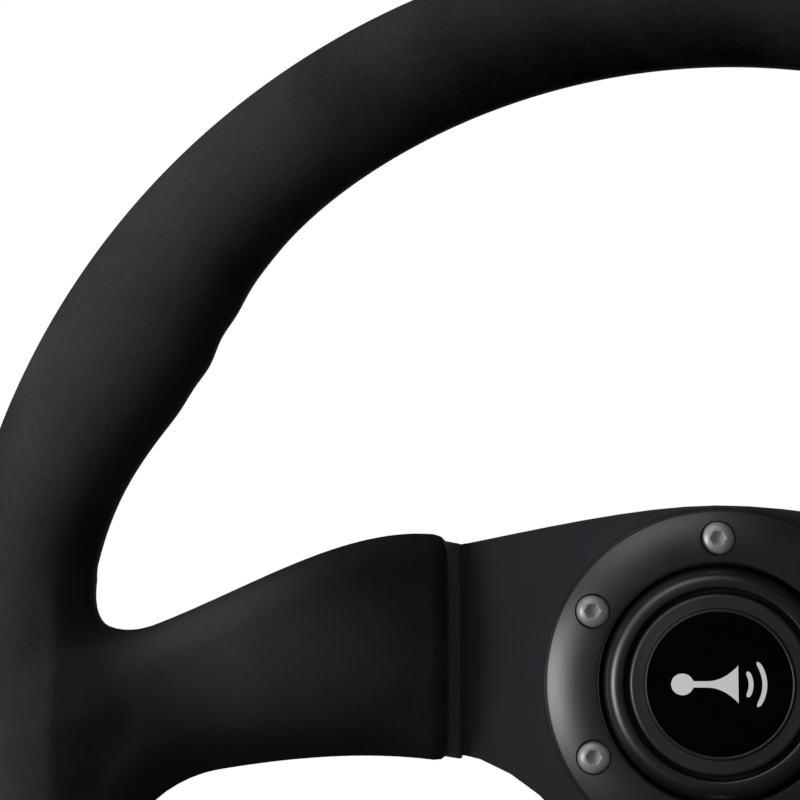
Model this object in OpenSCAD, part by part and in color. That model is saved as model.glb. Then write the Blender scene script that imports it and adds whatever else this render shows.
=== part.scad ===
// Three-spoke comfort-grip steering wheel on a ball-lock quick release hub, in millimetres.
// Each piece is drawn in depth coordinates: x to the driver's right, y up, z from the column face (0)
// toward the driver. placed() then turns it so that +Z is twelve o'clock and the driver is on the -Y side.

/* [Rim] */
// Width of the wheel over the grip
wheel_w = 350; // [330:1:380]
// Height of the wheel over the grip
wheel_h = 340.6; // [320:0.2:380]
// Thickness of the grip seen from the driver's seat
grip_w = 30.5; // [28:0.5:36]
// Thickness of the grip from front to back
grip_d = 29; // [27:0.5:36]
// Extra thickness of the thumb grips
grip_bulge = 6; // [0:0.5:8]
// Height of the thumb grips, as an angle above the horizontal
grip_angle = 30.5; // [24:0.5:40]
// Angle over which a thumb grip fades out
grip_fade = 8; // [5:0.5:10]
// Dish, from the front of the spoke plate to the middle of the rim
dish = 56; // [35:1:80]
// Thickness of the suede
cover_t = 1.3; // [1:0.1:2]
// Width of the metal ring inside the rim
core_w = 16; // [12:1:18]
// Thickness of the metal ring inside the rim
core_t = 4; // [3:0.5:5]
// Radius of the rivets that join the ring to the spokes
rivet_r = 2.5; // [2:0.25:3]

/* [Spokes] */
// Thickness of the spoke plate
plate_t = 4; // [3:0.5:5]
// How far the plate's top stands past the horn ring
plate_edge = 0.9; // [0.5:0.1:6]
// Distance from the centre to where the wrapped part of a spoke starts
wrap_x = 66; // [60:1:75]
// Top of a side spoke where the wrap starts, above the centre
arm_root_top = 33.5; // [28:0.5:38]
// Bottom of a side spoke where the wrap starts, below the centre
arm_root_low = 16.5; // [12:0.5:22]
// Top of a side spoke at the rim, above the centre
arm_tip_top = 6; // [2:0.5:14]
// Bottom of a side spoke at the rim, below the centre
arm_tip_low = 27; // [20:0.5:32]
// Half the width of the lower spoke where the wrap starts
lower_root = 22; // [18:0.5:26]
// Half the width of the lower spoke at the rim
lower_tip = 16; // [12:0.5:20]
// From where a spoke bends toward the driver out to the start of its wrap
bend_inset = 4; // [2:0.5:10]
// Foam over the edges of a spoke
pad_edge = 1.2; // [1:0.1:2]
// Foam over the faces of a spoke
pad_face = 3.5; // [3:0.5:6]

/* [Bolt circle] */
// Diameter of the bolt circle
bolt_pcd = 70; // [70:0.5:74]
// Number of bolts
bolt_n = 6; // [6]
// Radius of a bolt's shank
bolt_r = 2.5; // [2:0.25:3]
// Clearance round a bolt's shank
bolt_gap = 0.25; // [0.2:0.05:0.4]
// From the bolt circle out to the edge of the two hub flanges
flange_edge = 6.5; // [6:0.5:10]

/* [Quick release] */
// Thickness of the column-side flange
base_flange_t = 9; // [8:0.5:12]
// Thickness of the wheel-side flange
hub_t = 14; // [12:0.5:18]
// From the bolt circle in to the wheel-side spigot
spigot_inset = 13.05; // [12.9:0.05:13.5]
// Sliding clearance between the round fits
slide_gap = 0.05; // [0.04:0.01:0.1]
// Radius of a locking ball
ball_r = 3; // [2.6:0.1:3.3]
// How far a locked ball's centre stays outside the cage's bore
ball_hold = 1.6; // [1.4:0.1:1.8]
// Travel of the release collar
collar_travel = 5; // [4.5:0.1:5]
// How far the finger ring stands out from the collar
finger_reach = 6.8; // [6:0.2:9]
// Width of the drive keys
key_w = 6; // [5:0.5:7]
// Width of the upper key, which only fits one way round
index_key_w = 8; // [7:0.5:9]

/* [Horn button] */
// From the bolt circle out to the edge of the horn ring
ring_edge = 7.5; // [6:0.5:11]
// Depth of the horn ring over its flat back
ring_t = 8.4; // [7:0.2:10]
// Height of the raised collar round the button above the ring's back
ring_lip_t = 13.4; // [12:0.2:15]
// From the bolt circle in to the horn ring's bore
ring_inset = 12.1; // [11:0.1:14]
// Clearance between the horn button and its housing
cap_gap = 0.3; // [0.2:0.05:0.6]
// Width of the button's edge round the emblem disc
cap_edge = 3.1; // [2.5:0.1:5.5]
// Travel of the horn button
horn_travel = 1.5; // [1:0.1:2]

/* [Hidden] */
$fn = 96;
cut = 1;                 // how far a cutting shape runs past the face it opens
touch = 0.1;             // running clearance between small parts

// The bolt circle sets the flanges, the horn ring and the spigot
bolt_ring_r = bolt_pcd / 2;
flange_r = bolt_ring_r + flange_edge;
spigot_r = bolt_ring_r - spigot_inset;
spigot_bore_r = spigot_r - 6.95;
ring_r = bolt_ring_r + ring_edge;
ring_bore_r = bolt_ring_r - ring_inset;
plate_top = ring_r + plate_edge;
bend_r = wrap_x - bend_inset;

// Depths of the ball lock, from the column face
ball_n = 6;
cage_wall = ball_r + ball_hold;
cage_floor = base_flange_t + 3;
cage_r_in = spigot_r + slide_gap;
cage_r_out = cage_r_in + cage_wall;
spigot_tip = cage_floor + 3.5;
spigot_chamfer = 1;
collar_back = base_flange_t + 1;
ball_locked_r = cage_r_out - ball_r;
ball_free_r = cage_r_in + ball_r;
ball_travel = ball_free_r - ball_locked_r;
ball_d = collar_back + ball_r + collar_travel + 3;
seat_gap = 0.05;
groove_r = ball_r + seat_gap;

// Collar: a rear land, a relief that the freed balls drop into, a ramp and a front land
land_r = cage_r_out + slide_gap;
relief_r = ball_free_r + ball_r + touch;
relief_start = ball_d - collar_travel - ball_r;
ramp_slope = ball_travel / collar_travel;
ramp_end = ball_d + 0.95;
ramp_start = ramp_end - (relief_r - land_r) / ramp_slope;
spring_wire_r = 0.55;
chamber_r = land_r + 2.65;
chamber_d = ramp_end + 4.05;
collar_r = chamber_r + 1.9;
finger_r = collar_r + finger_reach;
collar_front = chamber_d + 7;
finger_d = chamber_d - 4;
finger_t = 5;
seat_d = collar_front + 2;
seat_t = 1.5;
clip_d = seat_d + seat_t;
clip_t = 1.5;
clip_groove_r = cage_r_out - 1.2;
cage_top = clip_d + clip_t + 1.5;
coil_r = (land_r + chamber_r) / 2;

// Keys, bolts and the wheel-side hub
bolt_hole_r = bolt_r + bolt_gap;
screw_gap = 0.45;        // around a screw in the plate and the horn ring
screw_hole_r = bolt_r + screw_gap;
bolt_head_r = bolt_r + 1.5;
bolt_head_t = 2.6;
countersink_r = bolt_r + 2.1;
key_angles = [90, 210, 330];
key_r_in = spigot_r - 1.55;
key_r_out = cage_r_in + 2.5;
key_top = cage_top - 5.5;
hub_d = cage_top + 0.5;
hub_front = hub_d + hub_t;
pocket_d = hub_d + 3;
pocket_r = bolt_ring_r - bolt_r - 2.3;

// Electrical contacts between the hub halves
carrier_r = spigot_bore_r + 2;
carrier_back = 3;
carrier_front = cage_floor + 2;
plug_back = spigot_tip + 2;
plug_t = 9.5;
ring_face = plug_back - 0.6;
contact_radii = [spigot_bore_r / 3, 0.7 * spigot_bore_r];
contact_ring_w = 2.4;
pin_r = 1.2;
pin_shoulder_r = 2;
pin_chamber_r = 2.2;
pin_tip = ring_face - slide_gap;
pin_shoulder_d = carrier_front - 4.5;
pin_shoulder_t = 1.5;
terminal_t = 2;

// Spoke plate and rim
plate_front = hub_front + plate_t;
rim_d = plate_front + dish;
rim_ax = (wheel_w - grip_w) / 2;
rim_az = (wheel_h - grip_w) / 2;
function rim_reach(along, across, off) = along * sqrt(1 - pow(off / across, 2));
rise_gap = 0.6;          // from the end of a spoke's rise to the ring inside the rim
arm_rise_x = rim_reach(rim_ax, rim_az, arm_tip_low) - core_w / 2 - rise_gap;
arm_rise_z = rim_reach(rim_az, rim_ax, lower_tip) - core_w / 2 - rise_gap;
arm_end_d = rim_d - 1;
core_d = arm_end_d - core_t;
arm_tip_x = rim_ax + core_w / 4;
arm_tip_z = rim_az + core_w / 4;
rivet_head_r = rivet_r + 1.7;
rivet_head_t = 1.6;
rivet_gap = 0.05;
wrap_end_gap = 1;        // from the end of a spoke's wrap to the rim's suede
seam_u = 215;            // where the suede's two edges meet, round the grip's section
seam_half = 3;
rim_steps = 72;
ring_points = 18;
seam_open = 360 - 2 * seam_half;
// Angles round the section, from one edge of the suede to the other
around = [for (j = [0:ring_points]) seam_u + seam_half + j * seam_open / ring_points];
spoke_steps = 9;
spoke_points = 24;

// Horn button
housing_gap = 0.1;
housing_r = ring_bore_r - housing_gap;
housing_wall = 1;
cap_r = housing_r - housing_wall - cap_gap;
badge_r = cap_r - cap_edge;
housing_floor = pocket_d + 5;
housing_floor_t = 2;
housing_lip = plate_front + ring_lip_t - 1.9;
snap_r = housing_r + 0.8;
plate_bore_r = snap_r + 0.6;
cap_top = plate_front + ring_lip_t + 0.2;
cap_t = 4.4;
skirt_t = 1.1;
skirt_len = 7;
stem_r = 3;
stem_gap = 0.2;
stem_clip_t = 1;
stem_clip_r = 5;
stem_groove_r = 2.2;
stem_clip_d = housing_floor - touch - stem_clip_t;
stem_end = stem_clip_d - 2.4;
shoulder_r = 4.5;
contact_t = 0.8;
moving_contact_d = housing_floor + housing_floor_t + 8.2;
moving_contact_r = 12.6;
post_x = 10;
post_r = 2;
post_top = moving_contact_d - horn_travel - touch;
spade_w = 6.3;
spade_t = 0.8;
spade_len = 7;
horn_coil_r = 5.6;
horn_wire_r = 0.4;

module placed() rotate([90, 0, 0]) children();

// Copies a shape to every place of the bolt circle
module bolt_circle() {
    for (i = [0:bolt_n - 1]) rotate([0, 0, 90 + i * 360 / bolt_n]) translate([bolt_ring_r, 0, 0]) children();
}

// A tube between two depths
module tube(r_in, r_out, d0, d1) {
    rotate_extrude() translate([r_in, d0]) square([r_out - r_in, d1 - d0]);
}

// Triangles between rings of m points; ring i + 1 follows ring i, and wrap joins the last to the first
function skin(n, m, wrap, flip) = [
    for (i = [0:n - (wrap ? 1 : 2)], j = [0:m - 1])
        let (a = i * m + j, b = (i + 1) % n * m + j, c = (i + 1) % n * m + (j + 1) % m, d = i * m + (j + 1) % m)
        each flip ? [[a, b, c], [a, c, d]] : [[a, d, c], [a, c, b]]
];

// A round wire wound into a helix of radius r between depths d0 and d1
module coil(r, wire_r, d0, d1, turns, steps, sides) {
    rings = turns * steps + 1;
    rise = (d1 - d0 - 2 * wire_r) / (rings - 1);
    points = [
        for (i = [0:rings - 1], j = [0:sides - 1])
            let (a = i * 360 / steps, u = j * 360 / sides, rr = r + wire_r * cos(u))
            [rr * cos(a), rr * sin(a), d0 + wire_r + i * rise + wire_r * sin(u)]
    ];
    start = [for (j = [sides - 1:-1:0]) j];
    end = [for (j = [0:sides - 1]) (rings - 1) * sides + j];
    polyhedron(points, concat(skin(rings, sides, false, false), [end], [start]));
}

// ---- Column side ----

module key_block(width, r0, r1, d0, d1) {
    translate([r0, -width / 2, d0]) cube([r1 - r0, width, d1 - d0]);
}

function key_width(i) = i == 0 ? index_key_w : key_w;

module quick_release_base() color("dimgray") placed() difference() {
    rotate_extrude() polygon([
        [carrier_r, 0], [flange_r, 0], [flange_r, base_flange_t], [cage_r_out, base_flange_t],
        [cage_r_out, clip_d], [clip_groove_r, clip_d], [clip_groove_r, clip_d + clip_t],
        [cage_r_out, clip_d + clip_t], [cage_r_out, cage_top], [cage_r_in, cage_top],
        [cage_r_in, cage_floor], [carrier_r, cage_floor]
    ]);
    bolt_circle() {
        translate([0, 0, -cut]) cylinder(r = bolt_hole_r, h = base_flange_t + 2 * cut);
        translate([0, 0, base_flange_t - countersink_r + bolt_hole_r])
            cylinder(r1 = bolt_hole_r, r2 = countersink_r, h = countersink_r - bolt_hole_r);
    }
    for (i = [0:ball_n - 1]) rotate([0, 0, i * 360 / ball_n]) translate([cage_r_in - cut, 0, ball_d])
        rotate([0, 90, 0]) cylinder(r = groove_r, h = cage_wall + 2 * cut);
    for (i = [0:2]) rotate([0, 0, key_angles[i]])
        key_block(key_width(i), cage_r_in - cut, key_r_out, cage_floor, key_top);
}

module drive_keys() color("silver") placed() for (i = [0:2])
    rotate([0, 0, key_angles[i]]) key_block(key_width(i), key_r_in, key_r_out, cage_floor, key_top);

// Places each sprung contact, one on each side of the centre
module contact_places() {
    translate([contact_radii[0], 0, 0]) children();
    translate([-contact_radii[1], 0, 0]) children();
}

module contact_carrier() color("black") placed() difference() {
    translate([0, 0, carrier_back]) cylinder(r = carrier_r, h = carrier_front - carrier_back);
    contact_places() {
        translate([0, 0, carrier_back - cut])
            cylinder(r = pin_chamber_r, h = pin_shoulder_d + pin_shoulder_t + touch - carrier_back + cut, $fn = 48);
        translate([0, 0, carrier_back]) cylinder(r = pin_r + touch, h = carrier_front, $fn = 48);
    }
}

module contact_terminals() color("goldenrod") placed() contact_places() {
    translate([0, 0, carrier_back]) cylinder(r = pin_chamber_r, h = terminal_t, $fn = 48);
    translate([-spade_t / 2, -1.4, 0.5]) cube([spade_t, 2.8, carrier_back]);
}

module contact_pins() color("gold") placed() contact_places() rotate_extrude($fn = 48) polygon([
    [0, pin_shoulder_d], [pin_shoulder_r, pin_shoulder_d],
    [pin_shoulder_r, pin_shoulder_d + pin_shoulder_t], [pin_r, pin_shoulder_d + pin_shoulder_t],
    [pin_r, pin_tip - 0.6], [pin_r - 0.5, pin_tip], [0, pin_tip]
]);

module contact_springs() color("silver") placed() contact_places()
    coil(1.5, 0.25, carrier_back + terminal_t, pin_shoulder_d, 4, 12, 6);

module release_collar() color("firebrick") placed() difference() {
    rotate_extrude() polygon([
        [land_r, collar_back], [collar_r, collar_back], [collar_r, finger_d],
        [finger_r - 1, finger_d], [finger_r, finger_d + 1], [finger_r, finger_d + finger_t - 1],
        [finger_r - 1, finger_d + finger_t], [collar_r, finger_d + finger_t],
        [collar_r, collar_front], [chamber_r, collar_front], [chamber_r, chamber_d],
        [land_r, chamber_d], [land_r, ramp_end], [relief_r, ramp_start],
        [relief_r, relief_start], [land_r, relief_start]
    ]);
    // the scallops in the finger ring let the flange's screws in
    bolt_circle() translate([0, 0, collar_back - cut])
        cylinder(r = countersink_r + touch, h = collar_front - collar_back + 2 * cut, $fn = 48);
}

module collar_spring() color("silver") placed() coil(coil_r, spring_wire_r, chamber_d, seat_d, 3, 32, 8);

module spring_seat() color("gray") placed() tube(land_r + touch, chamber_r - 0.2, seat_d, seat_d + seat_t);

module collar_circlip() color("darkgray") placed() difference() {
    tube(clip_groove_r, cage_r_out + 2.3, clip_d, clip_d + clip_t);
    translate([0, 0, clip_d - cut]) rotate([0, 0, -8]) cube([chamber_r, 8, clip_t + 2 * cut]);
}

module lock_ball(i) color("silver") placed() rotate([0, 0, (i - 1) * 360 / ball_n])
    translate([ball_locked_r, 0, ball_d]) sphere(r = ball_r, $fn = 48);

// ---- Wheel side of the quick release ----

module wheel_hub() color("dimgray") placed() difference() {
    rotate_extrude() polygon([
        [spigot_bore_r, spigot_tip], [spigot_r - spigot_chamfer, spigot_tip],
        [spigot_r, spigot_tip + spigot_chamfer], [spigot_r, hub_d],
        [flange_r - 1, hub_d], [flange_r, hub_d + 1], [flange_r, hub_front],
        [pocket_r, hub_front], [pocket_r, pocket_d], [spigot_bore_r, pocket_d]
    ]);
    rotate_extrude() translate([ball_locked_r, ball_d]) circle(r = groove_r, $fn = 48);
    bolt_circle() translate([0, 0, hub_d - cut]) cylinder(r = bolt_r + slide_gap, h = hub_t + 2 * cut);
    for (i = [0:2]) rotate([0, 0, key_angles[i]])
        key_block(key_width(i) + 2 * touch, key_r_in - touch, key_r_out, spigot_tip - cut, hub_d);
}

module contact_ring(r, d0, d1) tube(r - contact_ring_w / 2, r + contact_ring_w / 2, d0, d1);

module contact_plug() color("black") placed() difference() {
    translate([0, 0, plug_back]) cylinder(r = spigot_bore_r, h = plug_t);
    for (r = contact_radii) contact_ring(r, plug_back - cut, plug_back + 1.5);
    for (r = contact_radii) translate([r, 0, plug_back]) cylinder(r = 1, h = plug_t + cut, $fn = 32);
}

// Two brass rings, each with a solder pin that runs through the plug
module contact_rings() color("goldenrod") placed() for (r = contact_radii) {
    contact_ring(r, ring_face, plug_back + 1.5);
    translate([r, 0, plug_back + 1]) cylinder(r = 1, h = plug_t + 2, $fn = 32);
}

// ---- Spoke plate ----

function lerp(a, b, s) = a + (b - a) * s;
function bezier(a, b, c, d, s) =
    pow(1 - s, 3) * a + 3 * s * pow(1 - s, 2) * b + 3 * s * s * (1 - s) * c + pow(s, 3) * d;

// Edges of the spokes, from the start of the wrap (s = 0) to the tip (s = 1)
function arm_x(s) = lerp(wrap_x, arm_tip_x, s);
function arm_top(s) = bezier(arm_root_top, arm_root_top + 5, arm_tip_top - 7.4, arm_tip_top, s);
function arm_low(s) = -bezier(arm_root_low, arm_root_low - 5.5, arm_tip_low - 7, arm_tip_low, s);
function lower_z(s) = -lerp(wrap_x, arm_tip_z, s);
function lower_half(s) = bezier(lower_root, lower_root - 5, lower_tip - 2, lower_tip, s);

// Right half of the plate's outline, from the top middle round to the bottom middle
edge_steps = 8;
plate_half = concat(
    [for (i = [0:edge_steps]) bezier([0, plate_top], [20, plate_top], [45, arm_root_top + 4],
        [wrap_x, arm_root_top], i / edge_steps)],
    [for (i = [1:edge_steps]) [arm_x(i / edge_steps), arm_top(i / edge_steps)]],
    [for (i = [edge_steps:-1:0]) [arm_x(i / edge_steps), arm_low(i / edge_steps)]],
    [for (i = [1:edge_steps]) bezier([wrap_x, -arm_root_low], [45, -arm_root_low - 2.5],
        [lower_root + 4, -42], [lower_root, -wrap_x], i / edge_steps)],
    [for (i = [1:edge_steps]) [lower_half(i / edge_steps), lower_z(i / edge_steps)]]
);

// Angle at which a spoke rises between its bends
function spoke_slope(rise_end) = atan((arm_end_d - hub_front) / (rise_end - bend_r));

// Side view of a spoke: flat, then rising to the rim, then flat on the core ring
module spoke_strip(rise_end, tip) {
    slope = spoke_slope(rise_end);
    back = plate_t * tan(slope / 2);
    polygon([
        [bend_r - back - cut, hub_front], [bend_r, hub_front], [rise_end, arm_end_d], [tip + cut, arm_end_d],
        [tip + cut, arm_end_d + plate_t], [rise_end - back, arm_end_d + plate_t],
        [bend_r - back, plate_front], [bend_r - back - cut, plate_front]
    ]);
}

module spoke_blank() intersection() {
    linear_extrude(arm_end_d + 2 * plate_t)
        polygon(concat(plate_half, [for (i = [len(plate_half) - 1:-1:1]) [-plate_half[i][0], plate_half[i][1]]]));
    union() {
        flat = bend_r - plate_t * tan(spoke_slope(arm_rise_x) / 2);
        translate([-flat, -bend_r, hub_front]) cube([2 * flat, 2 * bend_r, plate_t]);
        for (side = [0, 1]) mirror([side, 0, 0]) rotate([90, 0, 0])
            linear_extrude(2 * plate_top, center = true) spoke_strip(arm_rise_x, arm_tip_x);
        rotate([0, 0, -90]) rotate([90, 0, 0])
            linear_extrude(2 * plate_top, center = true) spoke_strip(arm_rise_z, arm_tip_z);
    }
}

function rim_at(t) = [rim_ax * cos(t), rim_az * sin(t)];
side_rivets = [asin((arm_tip_top - 9) / rim_az), asin((9 - arm_tip_low) / rim_az)];
lower_rivet = asin(8 / rim_ax);
rivet_angles = [side_rivets[0], side_rivets[1], 180 - side_rivets[0], 180 - side_rivets[1],
    270 - lower_rivet, 270 + lower_rivet];

module rivet_places() for (t = rivet_angles) translate([rim_at(t)[0], rim_at(t)[1], 0]) children();

module spoke_plate() color([0.16, 0.16, 0.17]) placed() difference() {
    spoke_blank();
    translate([0, 0, hub_front - cut]) cylinder(r = plate_bore_r, h = plate_t + 2 * cut);
    bolt_circle() translate([0, 0, hub_front - cut]) cylinder(r = screw_hole_r, h = plate_t + 2 * cut);
    rivet_places() translate([0, 0, core_d]) cylinder(r = rivet_r + rivet_gap, h = core_t + 2 * plate_t, $fn = 48);
}

// ---- Horn button ----

// The face of the ring is an arc from its edge to the valley beside the raised collar
module horn_ring() color([0.2, 0.2, 0.21]) placed() difference() {
    face_edge = plate_front + 3.4;
    face_top = plate_front + ring_t;
    valley_r = ring_bore_r + 5.4;
    rotate_extrude() polygon(concat(
        [[ring_bore_r, plate_front], [ring_r, plate_front]],
        [for (i = [0:16]) let (s = i / 16) bezier([ring_r, face_edge], [ring_r - 0.5, face_top],
            [valley_r + 3, face_top + 0.8], [valley_r, face_top - 2.4], s)],
        [[valley_r - 0.8, face_top - 2.2], [valley_r - 1.1, plate_front + ring_lip_t - 1],
         [valley_r - 2, plate_front + ring_lip_t], [ring_bore_r + 0.7, plate_front + ring_lip_t],
         [ring_bore_r, plate_front + ring_lip_t - 0.7]]
    ));
    bolt_circle() {
        translate([0, 0, plate_front - cut]) cylinder(r = screw_hole_r, h = ring_t + 2 * cut);
        translate([0, 0, face_top - bolt_head_t]) cylinder(r = bolt_head_r + 0.3, h = ring_t);
    }
}

// Domed heads with a hex socket
module horn_ring_screws() color("silver") placed() bolt_circle() difference() {
    seat = plate_front + ring_t - bolt_head_t;
    rotate_extrude($fn = 48) polygon([
        [0, pocket_d + 1], [bolt_r - 0.5, pocket_d + 1], [bolt_r, pocket_d + 1.5], [bolt_r, seat],
        [bolt_head_r, seat], [bolt_head_r, seat + 0.45 * bolt_head_t],
        [0.8 * bolt_head_r, seat + 0.82 * bolt_head_t], [0.5 * bolt_head_r, seat + bolt_head_t],
        [0, seat + bolt_head_t]
    ]);
    translate([0, 0, seat + 0.8]) cylinder(r = 0.68 * bolt_r, h = bolt_head_t, $fn = 6);
}

module horn_housing() color("black") placed() difference() {
    rotate_extrude() polygon([
        [stem_r + stem_gap, housing_floor], [housing_r, housing_floor],
        [housing_r, plate_front - 2.4], [snap_r, plate_front - 2.1], [snap_r, plate_front - touch],
        [housing_r, plate_front - touch], [housing_r, housing_lip],
        [housing_r - housing_wall, housing_lip], [housing_r - housing_wall, housing_floor + housing_floor_t],
        [stem_r + stem_gap, housing_floor + housing_floor_t]
    ]);
    for (x = [-post_x, post_x]) translate([x, 0, housing_floor - cut])
        cylinder(r = post_r, h = housing_floor_t + 2 * cut, $fn = 48);
}

module horn_cap() color([0.35, 0.35, 0.36]) placed() difference() {
    rotate_extrude() polygon([
        [0, stem_end], [stem_r - 0.6, stem_end], [stem_r, stem_end + 0.6], [stem_r, stem_clip_d],
        [stem_groove_r, stem_clip_d], [stem_groove_r, stem_clip_d + stem_clip_t],
        [stem_r, stem_clip_d + stem_clip_t], [stem_r, moving_contact_d + contact_t],
        [shoulder_r, moving_contact_d + contact_t], [shoulder_r, cap_top - cap_t],
        [cap_r - skirt_t, cap_top - cap_t], [cap_r - skirt_t, cap_top - cap_t - skirt_len],
        [cap_r, cap_top - cap_t - skirt_len], [cap_r, cap_top - 1], [cap_r - 1, cap_top], [0, cap_top]
    ]);
    translate([0, 0, cap_top - 1.2]) cylinder(r = badge_r + touch, h = 2);
}

module horn_badge() color([0.03, 0.03, 0.03]) placed() rotate_extrude() polygon([
    [0, cap_top - 1.2], [badge_r, cap_top - 1.2], [badge_r, cap_top - 0.1],
    [0.8 * badge_r, cap_top + 0.35], [0.5 * badge_r, cap_top + 0.6], [0, cap_top + 0.7]
]);

module horn_spring() color("silver") placed()
    coil(horn_coil_r, horn_wire_r, housing_floor + housing_floor_t, moving_contact_d, 4, 20, 6);

module horn_stem_clip() color("darkgray") placed() difference() {
    tube(stem_groove_r, stem_clip_r, stem_clip_d, stem_clip_d + stem_clip_t);
    translate([0, -1, stem_clip_d - cut]) cube([stem_clip_r + cut, 2, stem_clip_t + 2 * cut]);
}

module horn_moving_contact() color("goldenrod") placed()
    tube(stem_r, moving_contact_r, moving_contact_d, moving_contact_d + contact_t);

// Fixed contact posts, each with a spade terminal behind the housing
module horn_terminals() color("goldenrod") placed() for (x = [-post_x, post_x]) translate([x, 0, 0]) {
    translate([0, 0, housing_floor]) cylinder(r = post_r, h = post_top - housing_floor, $fn = 48);
    translate([-spade_t / 2, -spade_w / 2, housing_floor - spade_len]) cube([spade_t, spade_w, spade_len]);
}

// ---- Rim ----

// A point of the grip's surface at angle t round the wheel and u round the section, sunk by inset.
// The thumb grips swell the section inward only, so the rim's outer edge stays an ellipse.
function rim_normal(t) = let (v = [rim_az * cos(t), rim_ax * sin(t)]) v / norm(v);
function rim_bulge(t) = let (q = (asin(sin(t)) - grip_angle) / grip_fade) grip_bulge * exp(-q * q / 2);
function rim_point(t, u, inset) =
    let (
        b = rim_bulge(t),
        p = rim_at(t) + rim_normal(t) * (((grip_w + b) / 2 - inset) * cos(u) - b / 2)
    ) [p[0], p[1], rim_d + (grip_d / 2 - inset) * sin(u)];

module rim_core() color("silver") placed() difference() {
    translate([0, 0, core_d]) linear_extrude(core_t) difference() {
        polygon([for (i = [0:rim_steps - 1]) let (t = i * 360 / rim_steps) rim_at(t) + rim_normal(t) * core_w / 2]);
        polygon([for (i = [0:rim_steps - 1]) let (t = i * 360 / rim_steps) rim_at(t) - rim_normal(t) * core_w / 2]);
    }
    rivet_places() translate([0, 0, core_d - cut]) cylinder(r = rivet_r + rivet_gap, h = core_t + 2 * cut, $fn = 48);
}

module rivet() {
    stack = core_t + plate_t;
    translate([0, 0, core_d - rivet_head_t]) cylinder(r = rivet_head_r, h = rivet_head_t, $fn = 48);
    translate([0, 0, core_d - cut]) cylinder(r = rivet_r, h = stack + 2 * cut, $fn = 48);
    translate([0, 0, core_d + stack]) cylinder(r = rivet_head_r, h = rivet_head_t, $fn = 48);
}

module rim_rivets() color("gray") placed() rivet_places() rivet();

module rim_padding() color([0.12, 0.12, 0.13]) placed() difference() {
    polyhedron(
        [for (i = [0:rim_steps - 1], j = [ring_points:-1:0]) rim_point(i * 360 / rim_steps, around[j], cover_t)],
        skin(rim_steps, ring_points + 1, true, true));
    translate([0, 0, core_d]) linear_extrude(core_t) difference() {
        polygon([for (i = [0:rim_steps - 1]) let (t = i * 360 / rim_steps) rim_at(t) + rim_normal(t) * core_w / 2]);
        polygon([for (i = [0:rim_steps - 1]) let (t = i * 360 / rim_steps) rim_at(t) - rim_normal(t) * core_w / 2]);
    }
    spoke_blank();
    rivet_places() rivet();
}

// One strip of suede round the rim; its edges meet along the rear of the inner side
module rim_cover() color([0.17, 0.17, 0.18]) placed() difference() {
    section = concat(
        [for (u = around) [u, 0]],
        [for (j = [ring_points:-1:0]) [around[j], cover_t]]
    );
    polyhedron(
        [for (i = [0:rim_steps - 1], p = section) rim_point(i * 360 / rim_steps, p[0], p[1])],
        skin(rim_steps, len(section), true, false));
    spoke_blank();
}

// ---- Wrapped spokes ----

// Middle of a spoke's thickness at distance r from the centre
function spoke_mid(r, rise_end) =
    let (slope = spoke_slope(rise_end), rise = tan(slope) * (r - bend_r + plate_t * tan(slope / 2) / 2))
    hub_front + plate_t / 2 + min(arm_end_d - hub_front, max(0, rise));

// Half the depth of the foam on a spoke, measured along the wheel's axis
function pad_half(rise_end) = plate_t / 2 / cos(spoke_slope(rise_end)) + pad_face;

// A rounded oblong: half sizes a and b, point at angle u
function sgn_pow(v, e) = sign(v) * pow(abs(v), e);
function oblong(a, b, u) = [a * sgn_pow(cos(u), 0.6), b * sgn_pow(sin(u), 0.75)];

// Surface points of a side spoke's wrap, grown past the foam by grow, from s0 to s1 along the spoke
wrap_end_inset = grip_w / 2 + wrap_end_gap + wrap_x;
pad_side = pad_edge + cover_t;
side_end = (rim_reach(rim_ax, rim_az, arm_tip_low + pad_side) - wrap_end_inset) / (arm_tip_x - wrap_x);
lower_end = (rim_reach(rim_az, rim_ax, lower_tip + pad_side) - wrap_end_inset) / (arm_tip_z - wrap_x);

function side_ring(s, grow) =
    let (top = arm_top(s), low = arm_low(s), mid = spoke_mid(arm_x(s), arm_rise_x))
    [for (j = [0:spoke_points - 1])
        let (p = oblong((top - low) / 2 + pad_edge + grow, pad_half(arm_rise_x) + grow, j * 360 / spoke_points))
        [arm_x(s), (top + low) / 2 + p[0], mid + p[1]]];
function lower_ring(s, grow) =
    let (mid = spoke_mid(-lower_z(s), arm_rise_z))
    [for (j = [0:spoke_points - 1])
        let (p = oblong(lower_half(s) + pad_edge + grow, pad_half(arm_rise_z) + grow, j * 360 / spoke_points))
        [p[0], lower_z(s), mid + p[1]]];

function stations(end) = [for (i = [0:spoke_steps]) end * i / spoke_steps];

// Foam runs from its last ring back to its first, so that its faces match the inside of the sleeve's
module foam(rings) {
    n = len(rings);
    m = len(rings[0]);
    difference() {
        polyhedron([for (i = [n - 1:-1:0]) each rings[i]], concat(skin(n, m, false, false),
            [[for (j = [m - 1:-1:0]) j]], [[for (j = [0:m - 1]) (n - 1) * m + j]]));
        spoke_blank();
    }
}

// A skin between the outer and inner rings, open at both ends
module sleeve(outer, inner) {
    n = len(outer);
    m = len(outer[0]);
    loop = concat(outer, [for (i = [n - 1:-1:0]) inner[i]]);
    polyhedron([for (r = loop) each r], skin(2 * n, m, true, true));
}

module side_foam() foam([for (s = stations(side_end)) side_ring(s, 0)]);
module side_sleeve()
    sleeve([for (s = stations(side_end)) side_ring(s, cover_t)], [for (s = stations(side_end)) side_ring(s, 0)]);

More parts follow.
